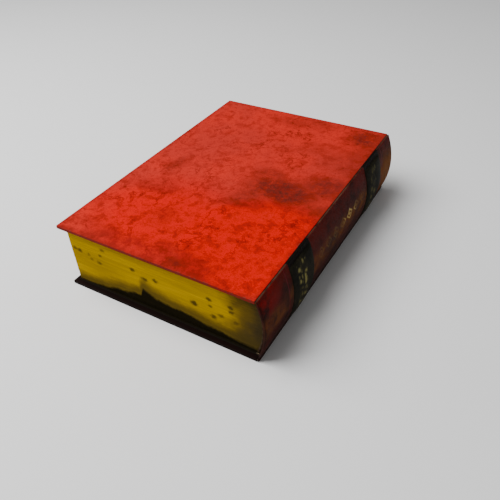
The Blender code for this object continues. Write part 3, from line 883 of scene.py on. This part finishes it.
def joint_strips():
    """The leather that bends at each joint, from under the cover paper to the spine's skin."""
    ys = (-HALF_HEIGHT + 0.6 * MM, HALF_HEIGHT - 0.6 * MM)
    front = smooth_path(
        [(X_EDGE - 14 * MM, TOP - 0.6 * MM), (X_EDGE - 4 * MM, TOP - 0.6 * MM),
         (X_EDGE - 0.3 * MM, TOP - 0.6 * MM), (X_EDGE + 0.5 * MM, TOP - 0.45 * MM),
         (X_JOINT - 0.35 * MM, TOP - 0.35 * MM),
         (X_JOINT + 0.05 * MM, TOP - 0.75 * MM), (X_JOINT + 0.45 * MM, TOP - 1.6 * MM)], 6)
    piece = strip("front_joint_skin", front, ys, JOINT_SKIN)
    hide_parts("front_joint_leather")
    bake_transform(piece)
    back = smooth_path(
        [(X_JOINT + 0.02 * MM, 2.2 * MM), (X_JOINT - 0.05 * MM, 0.9 * MM), (X_JOINT - 0.5 * MM, 0.35 * MM),
         (X_EDGE + 0.5 * MM, 0.45 * MM), (X_EDGE - 0.3 * MM, 0.6 * MM), (X_EDGE - 4 * MM, 0.6 * MM),
         (X_EDGE - 14 * MM, 0.6 * MM)], 6)
    other = strip("back_joint_skin", back, ys, JOINT_SKIN)
    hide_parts("back_joint_leather")
    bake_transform(other)
    return piece, other


def gutter_strips():
    """The paper hinges inside the covers, from each pastedown down beside the leaves' back edges."""
    x = X_HINGE - 1.75 * MM
    ys = (-Y_LEAVES, Y_LEAVES)
    z = Z_FRONT_HINGE
    front = [(X_HINGE - 4.5 * MM, z - 1.52 * MM), (X_HINGE - 2.2 * MM, z - 1.54 * MM), (x, z - 1.75 * MM)]
    front += [(x, z - (1.9 + 0.33 * i) * MM) for i in range(11)]
    piece = strip("front_gutter", front[::-1], ys, -GUTTER_PAPER)
    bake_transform(piece)
    z = Z_BACK_HINGE
    back = [(X_HINGE - 4.5 * MM, z + 1.52 * MM), (X_HINGE - 2.2 * MM, z + 1.54 * MM), (x, z + 1.75 * MM)]
    back += [(x, z + (1.9 + 0.2 * i) * MM) for i in range(6)]
    other = strip("back_gutter", back, ys, -GUTTER_PAPER)
    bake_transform(other)
    return piece, other


def leaf_sheet(node):
    """A loose leaf with ragged edges, its points closer together towards the gutter."""
    low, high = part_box(node)
    across, along = 44, 26
    middle = (low[2] + high[2]) / 2
    half = (high[2] - low[2]) / 2
    rings = []
    for j in range(along + 1):
        y = low[1] + (high[1] - low[1]) * j / along
        top, under = [], []
        for i in range(across + 1):
            t = (i / across) ** 1.6
            x = high[0] - (high[0] - low[0]) * t
            ragged_x = ragged_y = 0.0
            if i == across:
                ragged_x = 0.12 * MM * (0.5 + noise.noise(Vector((0.0, y * 140, middle * 4000))))
            if j in (0, along):
                ragged_y = 0.10 * MM * (0.5 + noise.noise(Vector((x * 140, 1.0, middle * 4000))))
            place = (x + abs(ragged_x), y + (abs(ragged_y) if j == 0 else -abs(ragged_y)))
            wave = 0.05 * MM * noise.noise(Vector((x * 25, y * 25, middle * 3000)))
            top.append((*place, middle + half * 0.6 + wave))
            under.append((*place, middle - half * 0.6 + wave))
        rings.append(top + under[::-1])
    piece = tube_grid(node + "_sheet", rings)
    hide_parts(node)
    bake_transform(piece)
    return piece


# ---------------------------------------------------------------- putting it together
def paint(node, material):
    """Give a CAD node its material, without touching its mesh."""
    obj = bpy.data.objects[node]
    for slot_place in obj.material_slots:
        slot_place.link = "OBJECT"
        slot_place.material = material


def main():
    """Paint the CAD nodes that stay, and build the pieces that stand for the others."""
    red = red_paper("red_paper_front")
    red_back = red_paper("red_paper_back", with_soot_and_shade=True)
    edges = page_edges("page_edges")
    pages = leaf_faces("leaf_faces", (0.62, 0.50, 0.30))
    fly = leaf_faces("flyleaf_faces", (0.56, 0.45, 0.28))
    leather = spine_leather_look("spine_leather_worn")
    tail_label = label_look("tail_label_gilt", (-0.0680, -0.0610), 1.0)
    head_label = label_look("head_label_gilt", (0.0630, 0.0690), 0.35)
    joint = simple_leather("joint_leather", (0.030, 0.0095, 0.0065), (0.085, 0.038, 0.024))
    endpaper = endpaper_look("endpaper_aged", (0.50, 0.39, 0.24), (0.62, 0.52, 0.34))
    endpaper_back = endpaper_look("endpaper_soot_and_shade", (0.46, 0.35, 0.21), (0.58, 0.48, 0.31), with_soot_and_shade=True)
    linen = woven("linen_weave", (0.40, 0.33, 0.22), (0.62, 0.54, 0.40), 0.0008)
    kraft = mottled("kraft_paper", (0.26, 0.16, 0.08), (0.40, 0.26, 0.14), 0.9)
    pasteboard = mottled("pasteboard", (0.20, 0.15, 0.10), (0.34, 0.26, 0.17), 0.95)
    thread = striped_thread("endband_thread")

    for side, paper, inside in (("front", red, endpaper), ("back", red_back, endpaper_back)):
        paint(side + "_cover_paper", paper)
        paint(side + "_board", pasteboard)
        paint(side + "_mull_flange", linen)
        paint(side + "_pastedown", inside)
        for number in (1, 2, 3):
            paint(f"{side}_tape_end_{number}", linen)
    for number in (1, 2, 3):
        paint(f"sewing_tape_{number}", linen)
    for side in ("tail", "head"):
        paint(side + "_kettle_stitch", linen)
        paint(side + "_endband", thread)
    paint("spine_mull", linen)
    paint("spine_lining", kraft)

    block = leaf_block()
    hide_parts(*[f"section_{i:02d}" for i in range(1, 17)])
    finish_piece(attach(block, "text_block"), (edges, pages))

    for node, root_body, material, slot in (
        ("front_flyleaf", "text_block", fly, "endpaper"),
        ("leaf_1", "text_block", pages, "page_edge"),
        ("leaf_2", "text_block", pages, "page_edge"),
        ("leaf_3", "text_block", pages, "page_edge"),
        ("leaf_4", "text_block", pages, "page_edge"),
        ("back_flyleaf", "back_cover", fly, "endpaper"),
    ):
        finish_piece(leaf_sheet(node), (edges, material))

    skin = spine_skin()
    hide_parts("spine_leather")
    finish_piece(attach(skin, "text_block"), (leather,))

    for side, look in (("tail", tail_label), ("head", head_label)):
        band = label_band(side + "_label_band", side + "_label")
        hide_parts(side + "_label")
        finish_piece(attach(band, "text_block"), (look,))

    for piece in joint_strips():
        finish_piece(piece, (joint,))
    for piece in gutter_strips():
        finish_piece(piece, (endpaper,))


def stage_and_light():
    """A plain pale floor, a pale world, one soft key light and the camera."""
    r = FLOOR_REACH
    floor_mesh = bpy.data.meshes.new("floor")
    floor_mesh.from_pydata([(-r, -r, 0), (r, -r, 0), (r, r, 0), (-r, r, 0)], [], [(0, 1, 2, 3)])
    floor = bpy.data.objects.new("floor", floor_mesh)
    bpy.context.scene.collection.objects.link(floor)
    floor_mesh.materials.append(Look("pale_floor", roughness=0.9, specular=0.1).done(FLOOR_TONE))

    world = bpy.data.worlds.new("studio")
    bpy.context.scene.world = world
    world.use_nodes = True
    background = world.node_tree.nodes["Background"]
    background.inputs["Color"].default_value = (1.0, 1.0, 1.0, 1.0)
    background.inputs["Strength"].default_value = WORLD_STRENGTH

    key_data = bpy.data.lights.new("key", "AREA")
    key_data.size = KEY_SIZE
    key_data.energy = KEY_POWER
    key = bpy.data.objects.new("key", key_data)
    key.location = KEY_PLACE
    key.rotation_euler = (-Vector(KEY_PLACE)).to_track_quat("-Z", "Y").to_euler()
    bpy.context.scene.collection.objects.link(key)

    camera_data = bpy.data.cameras.new("camera")
    camera_data.sensor_width = SENSOR_WIDTH
    camera_data.lens = CAMERA_LENS
    camera_data.clip_start = 0.01
    camera = bpy.data.objects.new("camera", camera_data)
    camera.location = CAMERA_PLACE
    camera.rotation_euler = CAMERA_TURN
    bpy.context.scene.collection.objects.link(camera)
    bpy.context.scene.camera = camera


main()
stage_and_light()
